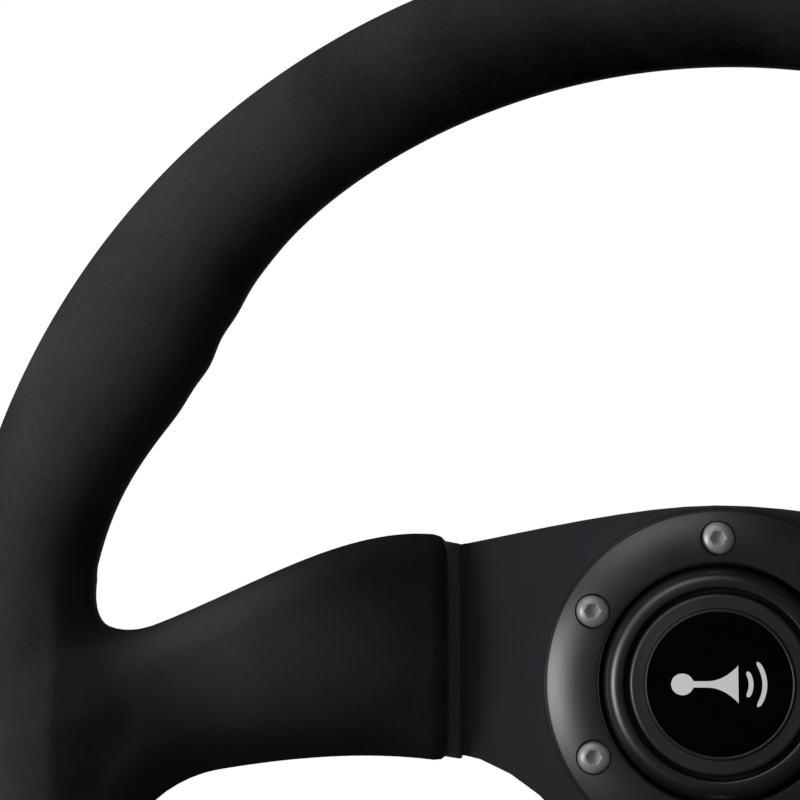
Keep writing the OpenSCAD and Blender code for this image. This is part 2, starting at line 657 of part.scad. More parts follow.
module spoke_pad_right() color([0.12, 0.12, 0.13]) placed() side_foam();
module spoke_pad_left() color([0.12, 0.12, 0.13]) placed() mirror([1, 0, 0]) side_foam();
module spoke_pad_lower() color([0.12, 0.12, 0.13]) placed()
    foam([for (s = stations(lower_end)) lower_ring(s, 0)]);
module spoke_cover_right() color([0.17, 0.17, 0.18]) placed() side_sleeve();
module spoke_cover_left() color([0.17, 0.17, 0.18]) placed() mirror([1, 0, 0]) side_sleeve();
module spoke_cover_lower() color([0.17, 0.17, 0.18]) placed()
    sleeve([for (s = stations(lower_end)) lower_ring(s, cover_t)], [for (s = stations(lower_end)) lower_ring(s, 0)]);

quick_release_base();
drive_keys();
contact_carrier();
contact_terminals();
contact_pins();
contact_springs();
release_collar();
collar_spring();
spring_seat();
collar_circlip();
lock_ball(1);  // lock_ball_1
lock_ball(2);  // lock_ball_2
lock_ball(3);  // lock_ball_3
lock_ball(4);  // lock_ball_4
lock_ball(5);  // lock_ball_5
lock_ball(6);  // lock_ball_6
wheel_hub();
contact_plug();
contact_rings();
spoke_plate();
horn_ring();
horn_ring_screws();
horn_housing();
horn_cap();
horn_badge();
horn_spring();
horn_stem_clip();
horn_moving_contact();
horn_terminals();
rim_core();
rim_rivets();
rim_padding();
rim_cover();
spoke_pad_left();
spoke_pad_right();
spoke_pad_lower();
spoke_cover_left();
spoke_cover_right();
spoke_cover_lower();
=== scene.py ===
"""Looks for a three-spoke suede steering wheel on a ball-lock quick release hub.

The wheel is worked out in its own coordinates, in millimetres: x to the driver's right, y up, and depth from
the column face toward the driver. to_world() turns them into the shared frame, where the driver is on -Y.
"""

from __future__ import annotations

import logging
import math
from dataclasses import dataclass
from enum import Enum

import bpy
import numpy as np
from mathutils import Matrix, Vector

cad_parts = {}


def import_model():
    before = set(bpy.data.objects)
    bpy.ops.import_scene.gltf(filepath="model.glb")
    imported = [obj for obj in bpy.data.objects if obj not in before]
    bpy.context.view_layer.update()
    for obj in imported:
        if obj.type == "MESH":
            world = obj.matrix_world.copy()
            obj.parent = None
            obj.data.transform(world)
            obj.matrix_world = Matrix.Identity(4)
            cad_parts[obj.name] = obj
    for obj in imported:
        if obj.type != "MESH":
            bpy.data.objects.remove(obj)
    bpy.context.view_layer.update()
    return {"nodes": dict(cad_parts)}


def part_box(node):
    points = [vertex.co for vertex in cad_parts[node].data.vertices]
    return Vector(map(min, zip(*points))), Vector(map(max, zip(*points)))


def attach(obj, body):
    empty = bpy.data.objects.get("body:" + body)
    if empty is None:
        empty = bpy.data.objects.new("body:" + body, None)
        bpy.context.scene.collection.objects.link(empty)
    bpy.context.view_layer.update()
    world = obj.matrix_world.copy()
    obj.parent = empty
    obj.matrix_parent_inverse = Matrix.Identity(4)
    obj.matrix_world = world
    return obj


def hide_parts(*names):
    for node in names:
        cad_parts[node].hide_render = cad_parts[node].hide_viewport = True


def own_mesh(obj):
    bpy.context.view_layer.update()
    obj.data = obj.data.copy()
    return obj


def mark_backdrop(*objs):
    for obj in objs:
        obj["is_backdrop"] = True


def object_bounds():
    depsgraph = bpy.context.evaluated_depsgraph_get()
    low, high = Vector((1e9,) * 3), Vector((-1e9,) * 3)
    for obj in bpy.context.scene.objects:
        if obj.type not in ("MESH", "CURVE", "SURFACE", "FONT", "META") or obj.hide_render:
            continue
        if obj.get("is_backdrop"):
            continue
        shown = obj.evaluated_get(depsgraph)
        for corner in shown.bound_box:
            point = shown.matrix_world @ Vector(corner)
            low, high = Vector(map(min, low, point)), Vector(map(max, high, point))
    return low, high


log = logging.getLogger("wheel")
MM = 0.001
FULL_TURN = 2 * math.pi
SHARP = math.radians(32)


# ---------------------------------------------------------------- coordinates and meshes


def to_world(points: np.ndarray) -> np.ndarray:
    """Turns wheel coordinates into the shared frame: (x, y, depth) in mm becomes (x, -depth, y) in m.

    Args:
        points: An array whose last axis holds x, y and depth.

    Returns:
        The same points in metres, in the shared frame.
    """
    return np.stack([points[..., 0], -points[..., 2], points[..., 1]], axis=-1) * MM


def grid_quads(rows: int, cols: int, close_rows: bool, close_cols: bool) -> np.ndarray:
    """Quads over a grid of rows x cols points, with the last row or column joined to the first if closed.

    Args:
        rows: The number of rows of points.
        cols: The number of points in a row.
        close_rows: Whether the last row joins the first.
        close_cols: Whether the last column joins the first.

    Returns:
        An array of four point numbers a face.
    """
    i = np.arange(rows if close_rows else rows - 1)[:, None]
    j = np.arange(cols if close_cols else cols - 1)[None, :]
    a = i * cols + j
    b = (i + 1) % rows * cols + j
    c = (i + 1) % rows * cols + (j + 1) % cols
    d = i * cols + (j + 1) % cols
    return np.stack(np.broadcast_arrays(a, b, c, d), axis=-1).reshape(-1, 4)


def make_piece(name: str, points: np.ndarray, faces: np.ndarray, smooth: bool = True) -> bpy.types.Object:
    """Puts points in wheel coordinates and their faces into a new object at the origin.

    Args:
        name: The piece's name.
        points: An n x 3 array in wheel coordinates.
        faces: An m x k array of point numbers.
        smooth: Whether the faces are shaded smooth.

    Returns:
        The new object.
    """
    mesh = bpy.data.meshes.new(name)
    count, sides = faces.shape
    mesh.vertices.add(len(points))
    mesh.vertices.foreach_set("co", to_world(points).astype(np.float32).ravel())
    mesh.loops.add(count * sides)
    mesh.loops.foreach_set("vertex_index", faces.astype(np.int32).ravel())
    mesh.polygons.add(count)
    mesh.polygons.foreach_set("loop_start", np.arange(count, dtype=np.int32) * sides)
    mesh.polygons.foreach_set("use_smooth", np.full(count, smooth))
    mesh.update(calc_edges=True)
    mesh.validate()
    piece = bpy.data.objects.new(name, mesh)
    bpy.context.scene.collection.objects.link(piece)
    log.info("%s: %d points, %d faces", name, len(points), count)
    return piece


def repeated(copies: np.ndarray, faces: np.ndarray) -> tuple[np.ndarray, np.ndarray]:
    """Joins the copies of one closed shape.

    Args:
        copies: A count x n x 3 array of points.
        faces: The faces of one copy.

    Returns:
        The points and the faces of all the copies.
    """
    every = faces[None] + (np.arange(len(copies)) * copies.shape[1])[:, None, None]
    return copies.reshape(-1, 3), every.reshape(-1, faces.shape[1])


def lathe(name: str, profile: np.ndarray, turns: int = 192) -> bpy.types.Object:
    """Turns a closed profile of radii and depths round the steering axis.

    Args:
        name: The piece's name.
        profile: An n x 2 array of radius and depth, counterclockwise with radius across and depth up.
        turns: The number of steps round the axis.

    Returns:
        The new object.
    """
    t = np.arange(turns)[:, None] * FULL_TURN / turns
    points = np.stack(np.broadcast_arrays(
        profile[None, :, 0] * np.cos(t), profile[None, :, 0] * np.sin(t), profile[None, :, 1] + 0 * t), axis=-1)
    faces = grid_quads(turns, len(profile), True, True)
    piece = make_piece(name, points.reshape(-1, 3), faces)
    piece.data.set_sharp_from_angle(angle=SHARP)
    return piece


def arc(centre: tuple[float, float], radius: float, start: float, end: float, steps: int = 8) -> np.ndarray:
    """Points of a circular arc in a profile, its angles in degrees from the radius axis toward depth."""
    a = np.radians(np.linspace(start, end, steps + 1))
    return np.array(centre) + radius * np.stack([np.cos(a), np.sin(a)], axis=-1)


def cut_away(piece: bpy.types.Object, cutter: bpy.types.Object) -> None:
    """Cuts one closed piece out of another and drops the cutter.

    Args:
        piece: The piece that stays.
        cutter: The piece that is cut out of it.
    """
    cut = piece.modifiers.new("cut", "BOOLEAN")
    cut.operation, cut.solver, cut.object = "DIFFERENCE", "EXACT", cutter
    bpy.context.view_layer.update()
    mesh = bpy.data.meshes.new_from_object(piece.evaluated_get(bpy.context.evaluated_depsgraph_get()))
    piece.modifiers.clear()
    piece.data = mesh
    mesh.set_sharp_from_angle(angle=SHARP)
    bpy.data.objects.remove(cutter)


def bolt_places(points: np.ndarray, radius: float, count: int = 6) -> np.ndarray:
    """Copies points round the bolt circle, the first copy at twelve o'clock: a count x n x 3 array."""
    a = math.pi / 2 + np.arange(count) * FULL_TURN / count
    c, s = np.cos(a)[:, None], np.sin(a)[:, None]
    x, y, d = points[:, 0] + radius, points[:, 1], points[:, 2]
    return np.stack([c * x - s * y, s * x + c * y, np.broadcast_to(d, (count, len(d)))], axis=-1)


def fillet_union(a: np.ndarray, b: np.ndarray, radius: np.ndarray | float) -> np.ndarray:
    """Joins two distance fields with a round inside corner: r less the length of what each is short of r."""
    return np.maximum(radius, np.minimum(a, b)) - np.hypot(np.maximum(radius - a, 0), np.maximum(radius - b, 0))


def rounded_cut(a: np.ndarray, b: np.ndarray, radius: float) -> np.ndarray:
    """The space inside both fields, with a round outside corner where they meet."""
    return np.minimum(-radius, np.maximum(a, b)) + np.hypot(np.maximum(radius + a, 0), np.maximum(radius + b, 0))


def bernstein(values: tuple[float, float, float, float], s: np.ndarray) -> np.ndarray:
    """A cubic curve through the first and last of four values, drawn toward the two between."""
    a, b, c, d = values
    r = 1 - s
    return r**3 * a + 3 * s * r**2 * b + 3 * s**2 * r * c + s**3 * d


def surface_net(values: np.ndarray, origin: np.ndarray, step: float) -> tuple[np.ndarray, np.ndarray]:
    """The surface where a field on a grid is zero, with one point in each cell that the surface crosses.

    A cell's point is the mean of the places where the surface crosses the cell's twelve edges, and each grid
    edge that is crossed gives one quad between the four cells round it.

    Args:
        values: The field on an nx x ny x nz grid, negative inside.
        origin: The place of the grid's first point.
        step: The grid's spacing.

    Returns:
        The points and the quads, facing outwards.
    """
    inside = values < 0
    shape = np.array(values.shape) - 1
    corner = np.array([(a, b, c) for a in (0, 1) for b in (0, 1) for c in (0, 1)])
    filled = sum(inside[a:a + shape[0], b:b + shape[1], c:c + shape[2]].astype(np.int8) for a, b, c in corner)
    active = (filled > 0) & (filled < 8)
    cell = np.argwhere(active)
    number = np.full(tuple(shape), -1, dtype=np.int64)
    number[active] = np.arange(len(cell))
    total, crossings = np.zeros((len(cell), 3)), np.zeros((len(cell), 1))
    for a in corner:
        for b in corner:
            if (b - a).sum() != 1 or (b - a).min() < 0:
                continue
            va = values[tuple((cell + a).T)]
            vb = values[tuple((cell + b).T)]
            crossed = (va < 0) != (vb < 0)
            t = np.where(crossed, va / np.where(crossed, va - vb, 1), 0)
            total += np.where(crossed[:, None], a + t[:, None] * (b - a), 0)
            crossings += crossed[:, None]
    points = origin + step * (cell + total / crossings)
    quads = []
    for axis in range(3):
        one, two = [d for d in range(3) if d != axis]
        first = np.take(inside, np.arange(shape[axis]), axis=axis)
        second = np.take(inside, np.arange(1, shape[axis] + 1), axis=axis)
        at = np.argwhere(first != second)
        at = at[(at[:, one] > 0) & (at[:, two] > 0) & (at[:, one] < shape[one]) & (at[:, two] < shape[two])]
        out = first[tuple(at.T)]
        ring = []
        for da, db in ((-1, -1), (0, -1), (0, 0), (-1, 0)):
            shifted = at.copy()
            shifted[:, one] += da
            shifted[:, two] += db
            ring.append(number[tuple(shifted.T)])
        quad = np.stack(ring, axis=-1)
        flip = out if axis == 1 else ~out
        quad[flip] = quad[flip][:, ::-1]
        quads.append(quad)
    return points, np.concatenate(quads)


# ---------------------------------------------------------------- sizes read from the frame


@dataclass(frozen=True)
class WheelSizes:
    """The wheel's main sizes in mm, taken from the frame's solids."""

    rim_half_x: float
    rim_half_y: float
    rim_mid: float
    grip_half: float
    grip_half_depth: float
    plate_back: float
    plate_front: float
    wrap_start: float
    wrap_low_start: float
    bend: float
    ring_half: float
    badge_top: float
    badge_half: float
    badge_back: float
    ring_bore: float
    bolt_ring: float
    cap_half: float
    cap_top: float
    screw_tip: float

    @classmethod
    def measured(cls) -> "WheelSizes":
        """Reads the boxes of the frame's nodes.

        Returns:
            The sizes, with depths counted from the column face.
        """
        def box(node: str) -> tuple[Vector, Vector]:
            """A node's lowest and highest corner in mm."""
            lo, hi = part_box(node)
            return Vector(lo) / MM, Vector(hi) / MM

        rim_lo, rim_hi = box("rim_cover")
        core_hi, ring_hi, plate_hi, low_hi = (
            box(node)[1] for node in ("rim_core", "horn_ring", "spoke_plate", "spoke_cover_lower"))
        wrap_lo = box("spoke_cover_right")[0]
        badge_lo, badge_hi = box("horn_badge")
        screws_lo, screws_hi = box("horn_ring_screws")
        cap_lo, cap_hi = box("horn_cap")
        half = rim_hi.x
        core_half, screw_head, wrap_over_bend, button_gap = 8.0, 4.0, 4.0, 0.7
        return cls(
            rim_half_x=half,
            rim_half_y=rim_hi.z,
            rim_mid=-(rim_lo.y + rim_hi.y) / 2,
            grip_half=half - (core_hi.x - core_half),
            grip_half_depth=(rim_hi.y - rim_lo.y) / 2,
            plate_back=-plate_hi.y,
            plate_front=-ring_hi.y,
            wrap_start=wrap_lo.x,
            wrap_low_start=-low_hi.z,
            bend=wrap_lo.x - wrap_over_bend,
            ring_half=ring_hi.x,
            badge_top=-badge_lo.y,
            badge_half=badge_hi.x,
            badge_back=-badge_hi.y,
            ring_bore=box("horn_housing")[1].x - button_gap,
            bolt_ring=(screws_hi.z - screws_lo.z) / 2 - screw_head,
            cap_half=cap_hi.x,
            cap_top=-cap_lo.y,
            screw_tip=-screws_hi.y,
        )


# ---------------------------------------------------------------- finishes


def set_values(node: bpy.types.Node, values: dict[str | int, float | tuple]) -> None:
    """Sets the values of a node's sockets, given by their names or numbers."""
    for socket, value in values.items():
        node.inputs[socket].default_value = value


def new_node(nodes: bpy.types.Nodes, kind: str, values: dict[str | int, float | tuple] | None = None,
             **options: str | bool) -> bpy.types.Node:
    """Adds a shader node.

    Args:
        nodes: The material's nodes.
        kind: The node's type, without its ShaderNode prefix.
        values: The values of its sockets, by their names or numbers.
        options: Its settings, such as an operation.

    Returns:
        The new node.
    """
    node = nodes.new("ShaderNode" + kind)
    for name, option in options.items():
        setattr(node, name, option)
    set_values(node, values or {})
    return node


class Grain(Enum):
    """How a finish's fine pattern runs."""

    EVEN = "even"
    TURNED = "turned"
    BRUSHED = "brushed"


@dataclass(frozen=True)
class Finish:
    """A surface finish: two mixed colours, a fine grain in the bump, its gloss, and a painted glow where one is
    set.
    """

    name: str
    colour: tuple[float, float, float]
    second: tuple[float, float, float]
    roughness: float
    metallic: float = 0.0
    roughness_spread: float = 0.08
    patch_scale: float = 60.0
    grain_scale: float = 2500.0
    grain_depth: float = 0.00003
    grain_strength: float = 0.3
    grain: Grain = Grain.EVEN
    specular: float = 0.5
    glow: float = 0.0

    def material(self) -> bpy.types.Material:
        """Builds the material, or returns it if it was built before.

        Returns:
            A node material that reads Object coordinates.
        """
        if self.name in bpy.data.materials:
            return bpy.data.materials[self.name]
        mat = bpy.data.materials.new(self.name)
        mat.use_nodes = True
        nodes, links = mat.node_tree.nodes, mat.node_tree.links
        shader = nodes["Principled BSDF"]
        coords = new_node(nodes, "TexCoord")
        patches = new_node(nodes, "TexNoise", {"Scale": self.patch_scale, "Detail": 5})
        links.new(coords.outputs["Object"], patches.inputs["Vector"])
        mix = new_node(nodes, "Mix", data_type="RGBA")
        set_values(mix, {"A": (*self.colour, 1), "B": (*self.second, 1)})
        contrast = new_node(nodes, "MapRange", {"From Min": 0.35, "From Max": 0.65})
        links.new(patches.outputs["Fac"], contrast.inputs["Value"])
        links.new(contrast.outputs["Result"], mix.inputs["Factor"])
        links.new(mix.outputs["Result"], shader.inputs["Base Color"])
        fine = self.fine_pattern(nodes, links, coords)
        gloss = new_node(nodes, "MapRange", {"To Min": max(self.roughness - self.roughness_spread, 0.03),
                                             "To Max": min(self.roughness + self.roughness_spread, 1.0)})
        links.new(patches.outputs["Fac"], gloss.inputs["Value"])
        links.new(gloss.outputs["Result"], shader.inputs["Roughness"])
        bump = new_node(nodes, "Bump", {"Strength": self.grain_strength, "Distance": self.grain_depth})
        links.new(fine, bump.inputs["Height"])
        links.new(bump.outputs["Normal"], shader.inputs["Normal"])
        set_values(shader, {"Metallic": self.metallic, "Specular IOR Level": self.specular,
                            "Emission Color": (1, 1, 1, 1), "Emission Strength": self.glow})
        return mat

    def fine_pattern(self, nodes: bpy.types.Nodes, links: bpy.types.NodeLinks,
                     coords: bpy.types.Node) -> bpy.types.NodeSocket:
        """The fine grain: even noise, noise stretched along X, or rings about the steering axis.

        Args:
            nodes: The material's nodes.
            links: The material's links.
            coords: The texture coordinate node.

        Returns:
            The socket that holds the grain's height.
        """
        noise = new_node(nodes, "TexNoise", {"Scale": self.grain_scale, "Detail": 3})
        if self.grain is Grain.TURNED:
            split, flat, ring = (new_node(nodes, kind) for kind in ("SeparateXYZ", "CombineXYZ", "CombineXYZ"))
            length = new_node(nodes, "VectorMath", operation="LENGTH")
            links.new(coords.outputs["Object"], split.inputs["Vector"])
            links.new(split.outputs["X"], flat.inputs["X"])
            links.new(split.outputs["Z"], flat.inputs["Y"])
            links.new(flat.outputs["Vector"], length.inputs[0])
            links.new(length.outputs["Value"], ring.inputs["X"])
            links.new(split.outputs["Y"], ring.inputs["Y"])
            links.new(ring.outputs["Vector"], noise.inputs["Vector"])
        elif self.grain is Grain.BRUSHED:
            stretch = new_node(nodes, "Mapping", {"Scale": (0.02, 1, 1)})
            links.new(coords.outputs["Object"], stretch.inputs["Vector"])
            links.new(stretch.outputs["Vector"], noise.inputs["Vector"])
        else:
            links.new(coords.outputs["Object"], noise.inputs["Vector"])
        return noise.outputs["Fac"]


@dataclass(frozen=True)
class SuedeFinish:
    """Brushed black suede: a short nap that lies in soft patches, catches light at a graze and hides gloss, with
    painted highlight and painted shade laid into its colour in a few places.
    """

    name: str = "black_suede"
    dark: tuple[float, float, float] = (0.063, 0.0635, 0.069)
    light: tuple[float, float, float] = (0.109, 0.11, 0.119)
    patch_scale: float = 38.0
    nap_scale: float = 900.0
    fibre_scale: float = 3600.0
    nap_depth: float = 0.00025
    nap_share: float = 0.45
    fibre_share: float = 0.6
    # painted light, as (x, z, half width, half height, lift) mirrored in x: a painted highlight on the side
    # spokes, painted shade on the top rim's inner half and painted shade on the side rims' outer half
    painted_light_patches: tuple[tuple[float, float, float, float, float], ...] = (
        (0.106, 0.009, 0.046, 0.03, 2.5), (0.0, 0.132, 0.125, 0.035, -1.0), (0.172, 0.055, 0.016, 0.1, -0.7))

    def material(self) -> bpy.types.Material:
        """Builds the suede material.

        Returns:
            A node material with brushed patches and painted highlight and shade patches in its colour, and nap
            and fibres in its bump.
        """
        mat = bpy.data.materials.new(self.name)
        mat.use_nodes = True
        nodes, links = mat.node_tree.nodes, mat.node_tree.links
        shader = nodes["Principled BSDF"]
        coords = new_node(nodes, "TexCoord")
        brushed, nap, fibre = (
            new_node(nodes, "TexNoise", {"Scale": scale, "Detail": detail}) for scale, detail in
            ((self.patch_scale, 4), (self.nap_scale, 4), (self.fibre_scale, 2)))
        for noise in (brushed, nap, fibre):
            links.new(coords.outputs["Object"], noise.inputs["Vector"])
        set_values(brushed, {"Distortion": 0.6})
        tone = new_node(nodes, "Math", {1: self.nap_share}, operation="MULTIPLY_ADD")
        links.new(nap.outputs["Fac"], tone.inputs[0])
        links.new(brushed.outputs["Fac"], tone.inputs[2])
        level = tone.outputs["Value"]
        # painted highlight and painted shade added onto the nap tone
        for painted_light_patch in self.painted_light_patches:
            with_painted_light = new_node(nodes, "Math")
            links.new(level, with_painted_light.inputs[0])
            links.new(self.painted_light_patch(nodes, links, coords, *painted_light_patch), with_painted_light.inputs[1])
            level = with_painted_light.outputs["Value"]
        spread = new_node(nodes, "MapRange", {"From Min": 0.45, "From Max": 1.0}, clamp=False)
        links.new(level, spread.inputs["Value"])
        mix = new_node(nodes, "Mix", data_type="RGBA", clamp_factor=False)
        set_values(mix, {"A": (*self.dark, 1), "B": (*self.light, 1)})
        links.new(spread.outputs["Result"], mix.inputs["Factor"])
        links.new(mix.outputs["Result"], shader.inputs["Base Color"])
        height = new_node(nodes, "Math", {1: self.fibre_share}, operation="MULTIPLY_ADD")
        links.new(fibre.outputs["Fac"], height.inputs[0])
        links.new(nap.outputs["Fac"], height.inputs[2])
        bump = new_node(nodes, "Bump", {"Strength": 0.35, "Distance": self.nap_depth})
        links.new(height.outputs["Value"], bump.inputs["Height"])
        links.new(bump.outputs["Normal"], shader.inputs["Normal"])
        set_values(shader, {"Roughness": 0.92, "Specular IOR Level": 0.12})
        return mat

    def painted_light_patch(self, nodes: bpy.types.Nodes, links: bpy.types.NodeLinks, coords: bpy.types.Node,
               x: float, z: float, wide: float, high: float, lift: float) -> bpy.types.NodeSocket:
        """A soft patch on each side, mirrored in x, of painted highlight where light falls on the suede or of
        painted shade where it does not.

        Args:
            nodes: The material's nodes.
            links: The material's links.
            coords: The texture coordinate node.
            x: The patch's middle, sideways, in metres.
            z: The patch's middle, up.
            wide: Half its width.
            high: Half its height.
            lift: How much painted highlight it adds in the middle, or painted shade if below 0.

        Returns:
            The socket that holds the patch's lift: strongest in its middle, 0 away from it.
        """
        split, place = new_node(nodes, "SeparateXYZ"), new_node(nodes, "CombineXYZ")
        links.new(coords.outputs["Object"], split.inputs["Vector"])
        mirrored = new_node(nodes, "Math", operation="ABSOLUTE")
        links.new(split.outputs["X"], mirrored.inputs[0])
        links.new(mirrored.outputs["Value"], place.inputs["X"])
        links.new(split.outputs["Z"], place.inputs["Z"])
        reach = new_node(nodes, "Mapping", vector_type="TEXTURE")
        set_values(reach, {"Location": (x, 0, z), "Scale": (wide, 1, high)})
        links.new(place.outputs["Vector"], reach.inputs["Vector"])
        distance = new_node(nodes, "VectorMath", operation="LENGTH")
        links.new(reach.outputs["Vector"], distance.inputs[0])
        fade = new_node(nodes, "MapRange", {"From Min": 0.0, "From Max": 1.0, "To Min": lift, "To Max": 0.0},
                        interpolation_type="SMOOTHERSTEP")
        links.new(distance.outputs["Value"], fade.inputs["Value"])
        return fade.outputs["Result"]


SUEDE = SuedeFinish()
LEATHER = Finish("end_trim", (0.17, 0.17, 0.185), (0.2, 0.2, 0.215), 0.42, grain_scale=1400, grain_depth=0.00012)
PLATE = Finish("anodised_plate", (0.088, 0.09, 0.106), (0.102, 0.104, 0.122), 0.5, grain=Grain.BRUSHED,
               grain_scale=4000, grain_depth=0.00002, patch_scale=25)
RING_BLACK = Finish("satin_ring", (0.19, 0.19, 0.195), (0.22, 0.22, 0.225), 0.4, 1.0, grain=Grain.TURNED,
                    grain_scale=5000, grain_depth=0.000006, roughness_spread=0.04)
HUB = Finish("machined_hub", (0.022, 0.022, 0.024), (0.03, 0.03, 0.033), 0.36, 0.75, grain=Grain.TURNED,
             grain_scale=4000, grain_depth=0.00002)
COLLAR = Finish("red_collar", (0.32, 0.012, 0.014), (0.38, 0.02, 0.02), 0.32, 0.85, grain=Grain.TURNED,
                grain_scale=4200, grain_depth=0.000015)
STEEL = Finish("polished_steel", (0.62, 0.62, 0.64), (0.74, 0.74, 0.76), 0.22, 1.0, grain_depth=0.00001)
SCREW = Finish("zinc_screw", (0.9, 0.9, 0.91), (0.97, 0.97, 0.98), 0.42, 0.35, grain_depth=0.00001)
SPRING = Finish("spring_wire", (0.3, 0.3, 0.32), (0.42, 0.42, 0.44), 0.35, 1.0, grain=Grain.BRUSHED)
BRASS = Finish("contact_brass", (0.66, 0.46, 0.18), (0.78, 0.58, 0.26), 0.28, 1.0, grain_depth=0.00001)
PLASTIC = Finish("moulded_plastic", (0.012, 0.012, 0.012), (0.017, 0.017, 0.017), 0.5, grain_scale=3500)
CORE = Finish("mill_alloy", (0.5, 0.5, 0.52), (0.6, 0.6, 0.62), 0.4, 1.0, grain=Grain.BRUSHED)
BUTTON_GREY = Finish("button_ring", (0.13, 0.13, 0.134), (0.15, 0.15, 0.154), 0.4, 0.6, grain=Grain.TURNED,
                     grain_depth=0.000006)
GLOSS = Finish("gloss_face", (0.0018, 0.0018, 0.0019), (0.0024, 0.0024, 0.0025), 0.09, roughness_spread=0.02,
               grain_depth=0.000003, specular=0.25)
# painted glow: the emblem's white ink shines by itself at 0.3 on top of its print colour
INK_WITH_PAINTED_GLOW = Finish("emblem_ink_painted_glow", (0.86, 0.86, 0.87), (0.94, 0.94, 0.95), 0.4, grain_scale=3000, glow=0.3)

FINISHED_NODES: dict[Finish, tuple[str, ...]] = {
    HUB: ("quick_release_base", "wheel_hub"),
    COLLAR: ("release_collar",),
    STEEL: ("drive_keys", "spring_seat", *(f"lock_ball_{i}" for i in range(1, 7))),
    BRASS: ("contact_terminals", "contact_pins", "contact_rings", "horn_moving_contact", "horn_terminals"),
    SPRING: ("contact_springs", "collar_spring", "collar_circlip", "horn_spring", "horn_stem_clip"),
    PLASTIC: ("contact_carrier", "contact_plug", "horn_housing"),
    PLATE: ("spoke_plate",),
    CORE: ("rim_core", "rim_rivets"),
    RING_BLACK: ("horn_ring",),
    SCREW: ("horn_ring_screws",),
    BUTTON_GREY: ("horn_cap",),
    GLOSS: ("horn_badge",),
}


def dress(obj: bpy.types.Object, material: bpy.types.Material) -> None:
    """Gives an object one material in its own slots."""
    if not obj.data.materials:
        obj.data.materials.append(material)
    for slot in obj.material_slots:
        slot.material = material


# ---------------------------------------------------------------- suede over the rim and spokes


